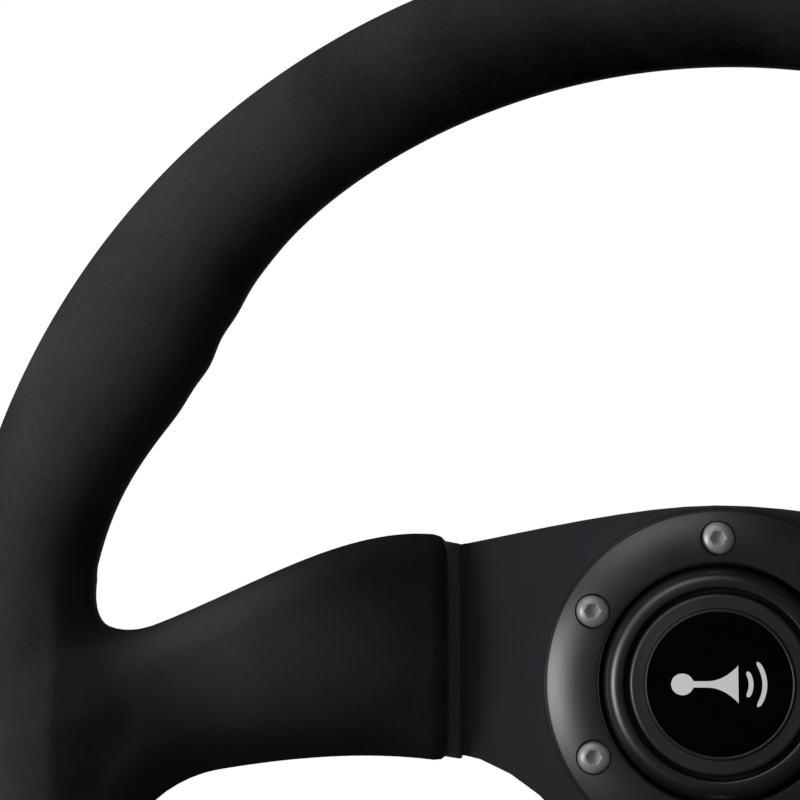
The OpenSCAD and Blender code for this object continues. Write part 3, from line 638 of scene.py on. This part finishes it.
@dataclass
class SuedeSkin:
    """The suede stretched over the rim and the three spokes, as one skin.

    Its shape is a distance field: an oval ring for the rim, swollen inward at the thumbs, and three flat
    rounded arms, joined with round inside corners.
    """

    sizes: WheelSizes
    step: float = 1.5
    thumb_swell: float = 6.1
    thumb_angle: float = 30.5
    thumb_fade_up: float = 8.6
    thumb_fade_down: float = 7.2
    finger_wave: float = 0.35
    spoke_half_depth: float = 5.6
    spoke_crown: float = 1.4
    spoke_swell: float = 3.8
    swell_run: float = 45.0
    spoke_sink: float = 6.5
    sink_run: float = 32.0
    end_round: float = 3.0
    blend_edge: float = 5.0
    blend_middle: float = 13.0
    flare_inset: float = 3.0
    flare_start: float = 1.0
    flare_fade: float = 0.8
    corner_above: float = 13.3
    corner_below: float = 27.0
    corner_lower: float = 20.0
    corner_turn: float = 6.0
    blend_run: float = 16.0
    side_lean: float = 0.93
    past_line: float = 4.0
    short_of_line: float = 11.0
    middle_lift: float = 2.4
    rise_short: float = 1.0
    box_play: float = 3.0
    box_back: float = 8.0
    box_front: float = 4.0
    side_top: tuple[float, float, float, float] = (36.2, 41.1, 1.1, 8.5)
    side_low: tuple[float, float, float, float] = (-19.0, -13.0, -22.5, -29.5)
    lower_half: tuple[float, float, float, float] = (24.5, 19.5, 16.5, 18.5)

    @property
    def line_x(self) -> float:
        """Half the width of the rim's centre line."""
        return self.sizes.rim_half_x - self.sizes.grip_half

    @property
    def line_y(self) -> float:
        """Half the height of the rim's centre line."""
        return self.sizes.rim_half_y - self.sizes.grip_half

    def swell(self, x: np.ndarray, y: np.ndarray) -> np.ndarray:
        """How much thicker the grip is at the thumbs: a bell curve of the angle above the horizontal."""
        turn = np.degrees(np.arctan2(y / self.line_y, np.abs(x) / self.line_x)) - self.thumb_angle
        fade = np.where(turn > 0, self.thumb_fade_up, self.thumb_fade_down)
        waves = self.finger_wave * np.cos(turn + 4) * np.exp(-(((turn - 4) / 6) ** 2))
        return self.thumb_swell * np.exp(-((turn / fade) ** 2) / 2) + waves

    def section(self, x: np.ndarray, y: np.ndarray) -> np.ndarray:
        """Distance from the rim's centre line, in the wheel's plane: (e - 1) over the slope of e."""
        e = np.maximum(np.hypot(x / self.line_x, y / self.line_y), 1e-6)
        return (e - 1) * e / np.hypot(x / self.line_x**2, y / self.line_y**2)

    def rim(self, x: np.ndarray, y: np.ndarray, depth: np.ndarray) -> np.ndarray:
        """Distance to the rim: an oval section whose inner side swells at the thumbs.

        Args:
            x: Across the wheel.
            y: Up the wheel.
            depth: Depth from the column face.

        Returns:
            The distance, negative inside.
        """
        swell = self.swell(x, y)
        across = self.section(x, y) + swell / 2
        half, deep = self.sizes.grip_half + swell / 2, self.sizes.grip_half_depth + swell * 0.12
        through = depth - self.sizes.rim_mid
        k = np.maximum(np.hypot(across / half, through / deep), 1e-6)
        return (k - 1) * k / np.hypot(across / half**2, through / deep**2)

    def outline(self, along: np.ndarray, half_gap: np.ndarray, lean: float, rim_edge: np.ndarray,
                corner: np.ndarray | float) -> np.ndarray:
        """The outline of a spoke in the wheel's plane, flared into the rim with a round inside corner.

        Args:
            along: Distance from the wheel's centre along the spoke.
            half_gap: Distance out from the spoke's edge.
            lean: The cosine of the edges' mean lean.
            rim_edge: Distance out from the rim's outline.
            corner: The inside corner's radius.

        Returns:
            The distance from the outline, negative inside.
        """
        gap = half_gap * lean
        away = np.clip((gap / corner - self.flare_start) / self.flare_fade, 0, 1)
        sunk = rim_edge + self.flare_inset + self.sizes.grip_half * away**2 * (3 - 2 * away)
        return fillet_union(gap, np.where(along > 0, sunk, self.sizes.grip_half), corner + self.flare_inset)

    def arm(self, along: np.ndarray, edge: np.ndarray, middle_share: np.ndarray, depth: np.ndarray, start: float,
            reach: float) -> np.ndarray:
        """Distance to one wrapped spoke: a flat bar with round edges and a crowned face.

        Args:
            along: Distance from the wheel's centre along the spoke.
            edge: Distance from the spoke's outline, negative inside.
            middle_share: 1 on the spoke's middle line, falling to 0 at its edges.
            depth: Depth from the column face.
            start: Where the wrap starts.
            reach: Where the spoke meets the rim's centre line.

        Returns:
            The distance, negative inside.
        """
        run = reach - self.short_of_line - self.sizes.bend
        rise = (self.sizes.rim_mid - self.rise_short - self.sizes.plate_back) / run
        middle = self.sizes.plate_back + self.middle_lift + rise * np.clip(along - self.sizes.bend, 0, run)
        through = np.abs(depth - middle) / math.hypot(1, rise)
        nearer = np.clip((along - start) / self.swell_run, 0, 1)
        within = np.clip((along - reach + self.sink_run) / self.sink_run, 0, 1)
        swell = self.spoke_swell * nearer**2 * (3 - 2 * nearer) - self.spoke_sink * within**2
        thick = self.spoke_half_depth + swell + self.spoke_crown * middle_share
        round_edge = thick * 0.97
        qx, qy = edge + round_edge, through - thick + round_edge
        bar = np.minimum(np.maximum(qx, qy), 0) + np.hypot(np.maximum(qx, 0), np.maximum(qy, 0)) - round_edge
        return rounded_cut(bar, np.maximum(start - along, along - reach), self.end_round)

    def blend(self, gap: np.ndarray) -> np.ndarray:
        """How round the corner between a spoke's face and the rim is: widest on the spoke's middle line."""
        return self.blend_edge + (self.blend_middle - self.blend_edge) * np.clip(-gap / self.blend_run, 0, 1)

    def field(self, x: np.ndarray, y: np.ndarray, depth: np.ndarray) -> np.ndarray:
        """Distance to the whole skin: the rim joined with the side spokes, then with the lower one.

        Args:
            x: Across the wheel.
            y: Up the wheel.
            depth: Depth from the column face.

        Returns:
            The distance, negative inside.
        """
        s = self.sizes
        swell = self.swell(x, y)
        rim_edge = np.abs(self.section(x, y) + swell / 2) - s.grip_half - swell / 2
        side = np.clip((np.abs(x) - s.wrap_start) / (self.line_x + self.past_line - s.wrap_start), -0.1, 1)
        top, low = bernstein(self.side_top, side), bernstein(self.side_low, side)
        middle, half = (top + low) / 2, (top - low) / 2
        blend = 1 / (1 + np.exp(-(y - middle) / self.corner_turn))
        corner = self.corner_below + (self.corner_above - self.corner_below) * blend
        off = np.abs(y - middle)
        left_right = self.arm(np.abs(x), self.outline(np.abs(x), off - half, self.side_lean, rim_edge, corner),
                              np.clip(1 - (off / half) ** 2, 0, 1), depth, s.wrap_start, self.line_x)
        down = np.clip((-y - s.wrap_low_start) / (self.line_y + self.past_line - s.wrap_low_start), -0.1, 1)
        low_half = bernstein(self.lower_half, down)
        lower = self.arm(-y, self.outline(-y, np.abs(x) - low_half, 1.0, rim_edge, self.corner_lower),
                         np.clip(1 - (x / low_half) ** 2, 0, 1), depth, s.wrap_low_start, self.line_y)
        skin = fillet_union(self.rim(x, y, depth), left_right, self.blend(off - half))
        return fillet_union(skin, lower, self.blend(np.abs(x) - low_half))

    def settle(self, points: np.ndarray, rounds: int = 3) -> np.ndarray:
        """Moves points onto the surface, each by its distance over the field's slope there.

        Args:
            points: An n x 3 array near the surface.
            rounds: How many times they are moved.

        Returns:
            The points on the surface.
        """
        small, flattest = 0.05, 0.05
        for _ in range(rounds):
            here = self.field(*points.T)
            slope = np.stack([
                (self.field(*(points + small * np.eye(3)[i]).T) - here) / small for i in range(3)], axis=-1)
            points = points - here[:, None] * slope / np.maximum((slope**2).sum(-1, keepdims=True), flattest)
        return points

    def build(self) -> bpy.types.Object:
        """Works out the field on a grid, takes its surface and moves the points onto it.

        Returns:
            The suede piece.
        """
        s = self.sizes
        wide, tall = s.rim_half_x + self.box_play, s.rim_half_y + self.box_play
        low = np.array([-wide, -tall, s.plate_back - self.box_back])
        high = np.array([wide, tall, s.rim_mid + s.grip_half_depth + self.box_front])
        axes = [np.arange(a, b, self.step) for a, b in zip(low, high)]
        values = self.field(*np.meshgrid(*axes, indexing="ij"))
        points, faces = surface_net(values, low, self.step)
        piece = make_piece("suede_cover", self.settle(points), faces)
        dress(piece, SUEDE.material())
        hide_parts("rim_cover", "rim_padding", "spoke_cover_left", "spoke_cover_right",
                    "spoke_cover_lower", "spoke_pad_left", "spoke_pad_right", "spoke_pad_lower")
        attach(piece, "wheel")
        return piece


@dataclass
class EndTrim:
    """A leather strip bound round each bare spoke where the suede ends, with a rolled edge toward the hub."""

    skin: SuedeSkin
    reach_in: float = 3.3
    hidden: float = 1.6
    rolled: float = 0.55
    side_play: float = 1.1
    face_play: float = 0.95
    snug: float = 0.06
    plate_half: float = 2.0
    bend_early: float = 0.63
    inset: float = 2.5
    square: float = 0.16
    sides: int = 96

    def band(self, name: str, lower: bool, side: int) -> None:
        """Builds one closed strip: rings round the spoke, out along the outside and back along the inside.

        Args:
            name: The piece's name.
            lower: Whether it binds the lower spoke.
            side: 1 for the right, -1 for the left.
        """
        skin, s = self.skin, self.skin.sizes
        start = s.wrap_low_start if lower else s.wrap_start
        line = skin.line_y if lower else skin.line_x
        end = line - skin.short_of_line
        first, last = start - self.reach_in, start + self.hidden
        roll = np.radians(np.linspace(90, 270, 9))
        along = np.concatenate([[last], first + self.rolled * (1 + np.cos(roll)), [last]])
        grow = np.concatenate([[1.0], 0.5 + 0.5 * np.sin(roll), [0.0]])
        share = np.clip((along - start) / (line + skin.past_line - start), -0.1, 1)
        if lower:
            half, middle = bernstein(skin.lower_half, share) - self.inset, 0 * along
        else:
            top, low = bernstein(skin.side_top, share), bernstein(skin.side_low, share)
            half, middle = (top - low) / 2 - self.inset, (top + low) / 2
        slope = (s.rim_mid - skin.rise_short - s.plate_back) / (end - s.bend)
        deep = self.plate_half * math.hypot(1, slope)
        depth = s.plate_back + self.plate_half + slope * np.maximum(along - s.bend + self.bend_early, 0)
        u = np.arange(self.sides) * FULL_TURN / self.sides
        c, n = np.cos(u), np.sin(u)
        play = grow * self.side_play + self.snug
        across = (half + play)[:, None] * np.sign(c) * np.abs(c) ** self.square + middle[:, None]
        cover = deep + grow * self.face_play + self.snug
        through = cover[:, None] * np.sign(n) * np.abs(n) ** self.square + depth[:, None]
        out = along[:, None] + 0 * u
        order = (across, -out) if lower else (side * out, across)
        points = np.stack([*order, through], axis=-1).reshape(-1, 3)
        faces = grid_quads(len(along), self.sides, True, True)
        if side > 0 and not lower:
            faces = faces[:, ::-1]
        piece = make_piece(name, points, faces)
        dress(piece, LEATHER.material())
        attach(piece, "wheel")

    def build(self) -> None:
        """Binds the three spokes."""
        self.band("end_trim_left", False, -1)
        self.band("end_trim_right", False, 1)
        self.band("end_trim_lower", True, 1)


# ---------------------------------------------------------------- horn ring and button


@dataclass
class HornRing:
    """The satin ring round the horn button, with its raised collar, and the six domed screws through it."""

    sizes: WheelSizes
    face_top: float = 8.4
    crest: float = 8.9
    sweep: float = 0.021
    collar_top: float = 13.4
    valley_out: float = 5.7
    valley_rise: float = 5.9
    hole: float = 4.3
    head: float = 4.0
    shank: float = 2.5
    head_depth: float = 2.6

    def profile(self) -> np.ndarray:
        """The ring's section: a swept face, a narrow valley, a round-backed collar and the bore.

        Returns:
            An n x 2 array of radius and depth.
        """
        s = self.sizes
        base, bore, edge = s.plate_front, s.ring_bore, s.ring_half
        valley = bore + self.valley_out
        t = np.linspace(0, 1, 25)
        radius = np.linspace(edge - 0.9, valley + 1.2, 30)
        swept = base + self.crest - self.sweep * (radius - valley - 1.2) ** 2
        shoulder = arc((edge - 1.0, swept[0] - 0.85), 1.0, 0, 62, 6)
        face = np.concatenate([shoulder, np.stack([radius, swept], axis=-1),
                               arc((valley + 1.1, base + self.crest - 0.9), 0.9, 90, 170, 6)])
        flank = np.stack([
            bernstein((valley - 0.4, valley - 0.9, valley - 1.6, bore + 1.2), t),
            base + bernstein(
                (self.valley_rise - 0.15, self.collar_top - 3.4, self.collar_top, self.collar_top), t)], axis=-1)
        lip = arc((bore + 0.6, base + self.collar_top - 0.6), 0.6, 90, 180, 6)
        return np.concatenate([[[bore, base], [edge, base]], face, flank, lip])

    def screws(self) -> tuple[np.ndarray, np.ndarray]:
        """Six screws: rings of points up the shank, over the domed head and down into its hex socket.

        Returns:
            The points and the faces of all six.
        """
        seat = self.sizes.plate_front + self.face_top - self.head_depth
        tip, shank = self.sizes.screw_tip - seat, self.shank
        sides = 48
        u = np.arange(sides) * FULL_TURN / sides
        hexagon = math.cos(math.pi / 6) / np.cos((u + math.pi / 6) % (math.pi / 3) - math.pi / 6)
        rows = [(0.02, tip, 0), (shank - 0.5, tip, 0), (shank, tip + 0.5, 0), (shank, 0.0, 0),
                (self.head, 0.0, 0), (self.head, 0.9, 0), (self.head * 0.97, 1.35, 0),
                (self.head * 0.88, 1.85, 0), (self.head * 0.74, 2.25, 0), (self.head * 0.6, 2.5, 0),
                (2.05, self.head_depth, 1), (1.9, self.head_depth - 0.06, 1), (1.86, self.head_depth - 0.3, 1),
                (1.84, 0.9, 1), (0.02, 0.75, 1)]
        radius = np.stack([r * (hexagon if six else np.ones(sides)) for r, _, six in rows])
        depth = np.array([seat + d for _, d, _ in rows])[:, None] + 0 * u
        one = np.stack([radius * np.cos(u), radius * np.sin(u), depth], axis=-1).reshape(-1, 3)
        faces = grid_quads(len(rows), sides, False, True)[:, ::-1]
        return repeated(bolt_places(one, self.sizes.bolt_ring), faces)

    def build(self) -> None:
        """Builds the ring, cuts its six counterbores, and sets the screws in them."""
        s = self.sizes
        ring = lathe("horn_ring_face", self.profile())
        u = np.arange(64) * FULL_TURN / 64
        seat = s.plate_front + self.face_top - self.head_depth
        rows = np.array([[0.01, seat], [self.hole, seat], [self.hole, seat + 9], [0.01, seat + 9]])
        plug = np.stack(np.broadcast_arrays(
            rows[:, :1] * np.cos(u), rows[:, :1] * np.sin(u), rows[:, 1:] + 0 * u), axis=-1).reshape(-1, 3)
        faces = grid_quads(4, 64, False, True)[:, ::-1]
        cut_away(ring, make_piece("counterbores", *repeated(bolt_places(plug, s.bolt_ring), faces)))
        dress(ring, RING_BLACK.material())
        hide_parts("horn_ring")
        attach(ring, "wheel")
        heads = make_piece("ring_screws", *self.screws())
        heads.data.set_sharp_from_angle(angle=SHARP)
        dress(heads, SCREW.material())
        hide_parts("horn_ring_screws")
        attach(heads, "wheel")


@dataclass
class HornButton:
    """The horn button: a grey rim over the cap, a crowned gloss face and a plain horn emblem."""

    sizes: WheelSizes
    edge: float = 1.0
    skin: float = 0.07
    face_half: float = 17.0
    crown_drop: float = 0.55
    edge_drop: float = 0.25
    emblem_scale: float = 1.35
    ink_depth: float = 0.12

    def crown(self, radius: np.ndarray) -> np.ndarray:
        """Depth of the gloss face at a radius: a shallow parabola that ends in a rounded edge."""
        s = self.sizes
        share = np.clip(radius / self.face_half, 0, 1)
        return s.badge_top - self.crown_drop * share**2 - self.edge_drop * share**12

    def ribbon(self, x: np.ndarray, y: np.ndarray, half: np.ndarray) -> tuple[np.ndarray, np.ndarray]:
        """A thin inlaid strip along a path on the crowned face, with its own half-width at each point.

        Args:
            x: The path across the face.
            y: The path up the face.
            half: Half the strip's width along the path.

        Returns:
            The points and faces of a closed flat strip.
        """
        dx, dy = np.gradient(x), np.gradient(y)
        long = np.hypot(dx, dy)
        nx, ny = -dy / long, dx / long
        side = np.array([-1, 1, 1, -1])[None, :]
        px, py = x[:, None] + nx[:, None] * half[:, None] * side, y[:, None] + ny[:, None] * half[:, None] * side
        lift = np.array([1, 1, -1, -1])[None, :] * self.ink_depth / 2 + self.ink_depth / 2
        depth = self.crown(np.hypot(px, py)) + lift
        return np.stack([px, py, depth], axis=-1).reshape(-1, 3), grid_quads(len(x), 4, False, True)

    def emblem(self) -> tuple[np.ndarray, np.ndarray]:
        """A bulb horn seen from the side, its bell to the right, and two arcs for its sound.

        Returns:
            The points and the faces.
        """
        k = self.emblem_scale
        x = np.linspace(-8.6, 3.2, 60)
        bulb = np.sqrt(np.clip(1 - ((x + 6.6) / 2.0) ** 2, 0, 1)) * 1.9
        pipe = np.where(x > -5.2, 0.55 + 2.75 * np.clip((x + 2.5) / 5.7, 0, 1) ** 2.2, 0)
        body = self.ribbon(x * k, 0 * x, np.maximum(np.maximum(bulb, pipe), 0.02) * k)
        parts = [body]
        for radius, spread in ((4.0, 34), (6.4, 38)):
            a = np.radians(np.linspace(-spread, spread, 25))
            half = 0.42 * np.sqrt(np.clip(1 - np.linspace(-1, 1, 25) ** 8, 0.003, 1))
            parts.append(self.ribbon((1.4 + radius * np.cos(a)) * k, radius * np.sin(a) * k, half * k))
        offset = np.cumsum([0] + [len(p) for p, _ in parts[:-1]])
        return (np.concatenate([p for p, _ in parts]),
                np.concatenate([f + o for (_, f), o in zip(parts, offset)]))

    def build(self) -> None:
        """Builds the face and its emblem, and a thin rounded rim over the cap."""
        s = self.sizes
        inner, outer, top = self.face_half + 0.06, s.cap_half + self.skin, s.cap_top + self.skin
        rim = np.concatenate([
            [[inner, top - 1.0], [s.badge_half, top - 1.0], [s.badge_half + 0.02, top - self.skin / 2],
             [s.cap_half - 0.9, top - self.skin / 2], [s.cap_half + 0.03, top - 1.4], [outer, top - 1.4]],
            arc((outer - self.edge, top - self.edge), self.edge, 0, 90, 8),
            [[inner + 1.15, top]], arc((inner + 1.0, top - 0.25), 0.28, 80, -60, 5),
            arc((inner + 0.4, top + 0.02), 0.3, 20, 170, 6)])
        ring = lathe("button_rim", rim)
        dress(ring, BUTTON_GREY.material())
        radius = np.concatenate([np.linspace(0.02, self.face_half - 0.6, 24),
                                 np.linspace(self.face_half - 0.55, self.face_half, 8)])
        face = np.stack([radius, self.crown(radius)], axis=-1)
        back = np.array([[self.face_half, s.badge_back + 0.05], [0.02, s.badge_back + 0.05]])
        disc = lathe("button_face", np.concatenate([back[::-1], face[::-1]]))
        dress(disc, GLOSS.material())
        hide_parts("horn_badge")
        mark = make_piece("horn_emblem", *self.emblem(), smooth=False)
        dress(mark, INK_WITH_PAINTED_GLOW.material())
        for piece in (ring, disc, mark):
            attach(piece, "horn_button")


# ---------------------------------------------------------------- springs


@dataclass(frozen=True)
class Spring:
    """One node's wound springs, wound at rest: their joint, travel and fixed depth are not used, so they don't
    shorten as the joint moves.
    """

    node: str
    body: str
    joint: str
    travel: float
    fixed_depth: float
    coil: float
    wire: float
    turns: int
    centres: tuple[float, ...] = (0.0,)
    sides: int = 12
    steps: int = 40

    def build(self) -> None:
        """Winds the wire: a ring of the wire's radius carried along a helix at each centre, with closed ends."""
        lo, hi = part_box(self.node)
        start, end = -hi.y / MM + self.wire, -lo.y / MM - self.wire
        rings = self.turns * self.steps + 1
        a = np.linspace(0, self.turns * FULL_TURN, rings)[:, None]
        u = (np.arange(self.sides) * FULL_TURN / self.sides)[None, :]
        a = np.concatenate([a[:1], a, a[-1:]])
        size = np.concatenate([[0.02 * self.wire], np.full(rings, self.wire), [0.02 * self.wire]])[:, None]
        out = self.coil + size * np.cos(u)
        depth = start + (end - start) * a / (self.turns * FULL_TURN) + size * np.sin(u)
        one = np.stack([out * np.cos(a), out * np.sin(a), depth], axis=-1).reshape(-1, 3)
        shift = np.array([[c, 0.0, 0.0] for c in self.centres])
        faces = grid_quads(rings + 2, self.sides, False, True)
        piece = make_piece(self.node + "_wound", *repeated(one[None] + shift[:, None], faces))
        dress(piece, SPRING.material())
        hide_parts(self.node)
        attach(piece, self.body)
        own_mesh(piece)


def springs() -> list[Spring]:
    """The three springs, with their coils measured from their nodes' boxes.

    Returns:
        The springs of the release collar, of the contact pins and of the horn button.
    """
    collar, horn, pins = (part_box(name) for name in ("collar_spring", "horn_spring", "contact_springs"))
    wire, horn_wire, pin_wire, pin_coil = 0.55, 0.4, 0.25, 1.5
    return [
        Spring("collar_spring", "column_hub", "release_collar_slide", 5.0, -collar[0].y / MM,
               collar[1].x / MM - wire, wire, 3),
        Spring("contact_springs", "column_hub", "contact_pins_press", 1.5, -pins[1].y / MM,
               pin_coil, pin_wire, 4,
               (pins[0].x / MM + pin_coil + pin_wire, pins[1].x / MM - pin_coil - pin_wire)),
        Spring("horn_spring", "wheel", "horn_button_press", 1.5, -horn[1].y / MM,
               horn[1].x / MM - horn_wire, horn_wire, 4),
    ]


# ---------------------------------------------------------------- studio


@dataclass
class Studio:
    """A white room with soft light from the upper left, and the camera in front of the wheel."""

    camera_at: tuple[float, float, float] = (-0.00955, -0.69877, 0.00559)
    look_at: tuple[float, float, float] = (-0.0771, -0.066, 0.0693)
    lens: float = 117.2
    ambient: float = 0.03
    dome_radius: float = 6000.0
    floor_radius: float = 2500.0

    @staticmethod
    def aimed(data: bpy.types.ID, place: tuple[float, float, float],
              target: tuple[float, float, float]) -> bpy.types.Object:
        """Places a camera or a light so that it faces a point.

        Args:
            data: The camera's or the light's data.
            place: Where it goes, in metres.
            target: The point that it faces.

        Returns:
            The new object, named as its data.
        """
        thing = bpy.data.objects.new(data.name, data)
        bpy.context.scene.collection.objects.link(thing)
        thing.location = place
        thing.rotation_mode = "QUATERNION"
        thing.rotation_quaternion = (Vector(target) - Vector(place)).to_track_quat("-Z", "Y")
        return thing

    def camera(self) -> None:
        """Sets the camera nearly on the steering axis, aimed at the wheel's upper left."""
        data = bpy.data.cameras.new("camera")
        data.lens, data.sensor_width = self.lens, 36.0
        data.clip_start, data.clip_end = 0.01, 50
        bpy.context.scene.camera = self.aimed(data, self.camera_at, self.look_at)

    def softbox(self, name: str, place: tuple[float, float, float], target: tuple[float, float, float],
                size: tuple[float, float], power: float, tint: tuple[float, float, float] = (1, 1, 1)) -> None:
        """Hangs one rectangular soft light, turned to face a target.

        Args:
            name: The light's name.
            place: Where it hangs, in metres.
            target: The point that it faces.
            size: Its width and height.
            power: Its power in watts.
            tint: Its colour.
        """
        data = bpy.data.lights.new(name, "AREA")
        data.shape = "RECTANGLE"
        data.size, data.size_y = size
        data.energy, data.color = power, tint
        self.aimed(data, place, target).visible_camera = False

    def paper(self, piece: bpy.types.Object, grey: float, roughness: float, glow: float) -> None:
        """Covers a stage piece in plain paper.

        Args:
            piece: The piece.
            grey: How light the paper is.
            roughness: Its roughness.
            glow: How strongly it shines by itself.
        """
        mat = bpy.data.materials.new(piece.name + "_paper")
        mat.use_nodes = True
        set_values(mat.node_tree.nodes["Principled BSDF"], {
            "Base Color": (grey, grey, grey, 1), "Roughness": roughness,
            "Emission Color": (1, 1, 1, 1), "Emission Strength": glow})
        dress(piece, mat)

    def room(self) -> None:
        """Builds the pale floor, and a white dome that only the camera sees."""
        steps = 48
        t = np.linspace(0, FULL_TURN, steps, endpoint=False)
        p = np.linspace(1e-4, math.pi - 1e-4, steps // 2)
        dome = self.dome_radius * np.stack([
            np.sin(p)[:, None] * np.cos(t), np.sin(p)[:, None] * np.sin(t), np.cos(p)[:, None] * np.ones_like(t)],
            axis=-1)
        shell = make_piece("backdrop", dome.reshape(-1, 3), grid_quads(len(p), steps, False, True))
        self.paper(shell, 0.0, 0.5, 1.0)
        shell.visible_diffuse = shell.visible_glossy = shell.visible_shadow = False
        shell.visible_transmission = shell.visible_volume_scatter = False
        ring = np.linspace(0, 1, 24)[:, None] * self.floor_radius + 1.0
        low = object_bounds()[0].z / MM - 1.0
        disc = np.stack([ring * np.cos(t), np.full((24, steps), low), ring * np.sin(t)], axis=-1)
        floor = make_piece("floor", disc.reshape(-1, 3), grid_quads(24, steps, False, True))
        self.paper(floor, 0.85, 0.9, 0.45)
        floor.visible_diffuse = floor.visible_glossy = False
        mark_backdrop(shell, floor)

    def build(self) -> None:
        """Sets the colour transform, world, lights, room and camera."""
        scene = bpy.context.scene
        scene.view_settings.view_transform = "Standard"
        world = bpy.data.worlds.new("room_light")
        world.use_nodes = True
        sky = world.node_tree.nodes["Background"]
        sky.inputs["Color"].default_value = (1, 1, 1, 1)
        sky.inputs["Strength"].default_value = self.ambient
        scene.world = world
        hub = (0.0, -0.07, 0.03)
        self.softbox("top_key", (-0.85, -1.15, 1.6), hub, (1.6, 1.2), 5.6)
        self.softbox("left_key", (-1.15, -0.84, -0.02), hub, (0.64, 0.6), 5.6)
        self.softbox("rear_fill", (0.0, 1.9, 0.15), hub, (0.9, 0.9), 7)
        self.room()
        self.camera()


# ---------------------------------------------------------------- main


def dress_frame(nodes: dict[str, bpy.types.Object]) -> None:
    """Gives every node of the frame that stays in view its finish."""
    for finish, names in FINISHED_NODES.items():
        for name in names:
            dress(nodes[name], finish.material())
            log.info("dressed %s in %s", name, finish.name)


def main() -> None:
    """Loads the frame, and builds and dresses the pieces."""
    logging.basicConfig(level=logging.INFO, format="%(message)s")
    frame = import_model()
    sizes = WheelSizes.measured()
    log.info("sizes: %s", sizes)
    Studio().build()
    dress_frame(frame["nodes"])
    HornRing(sizes).build()
    HornButton(sizes).build()
    skin = SuedeSkin(sizes)
    skin.build()
    EndTrim(skin).build()
    for spring in springs():
        spring.build()
        log.info("wound %s", spring.node)


if __name__ == "__main__":
    main()
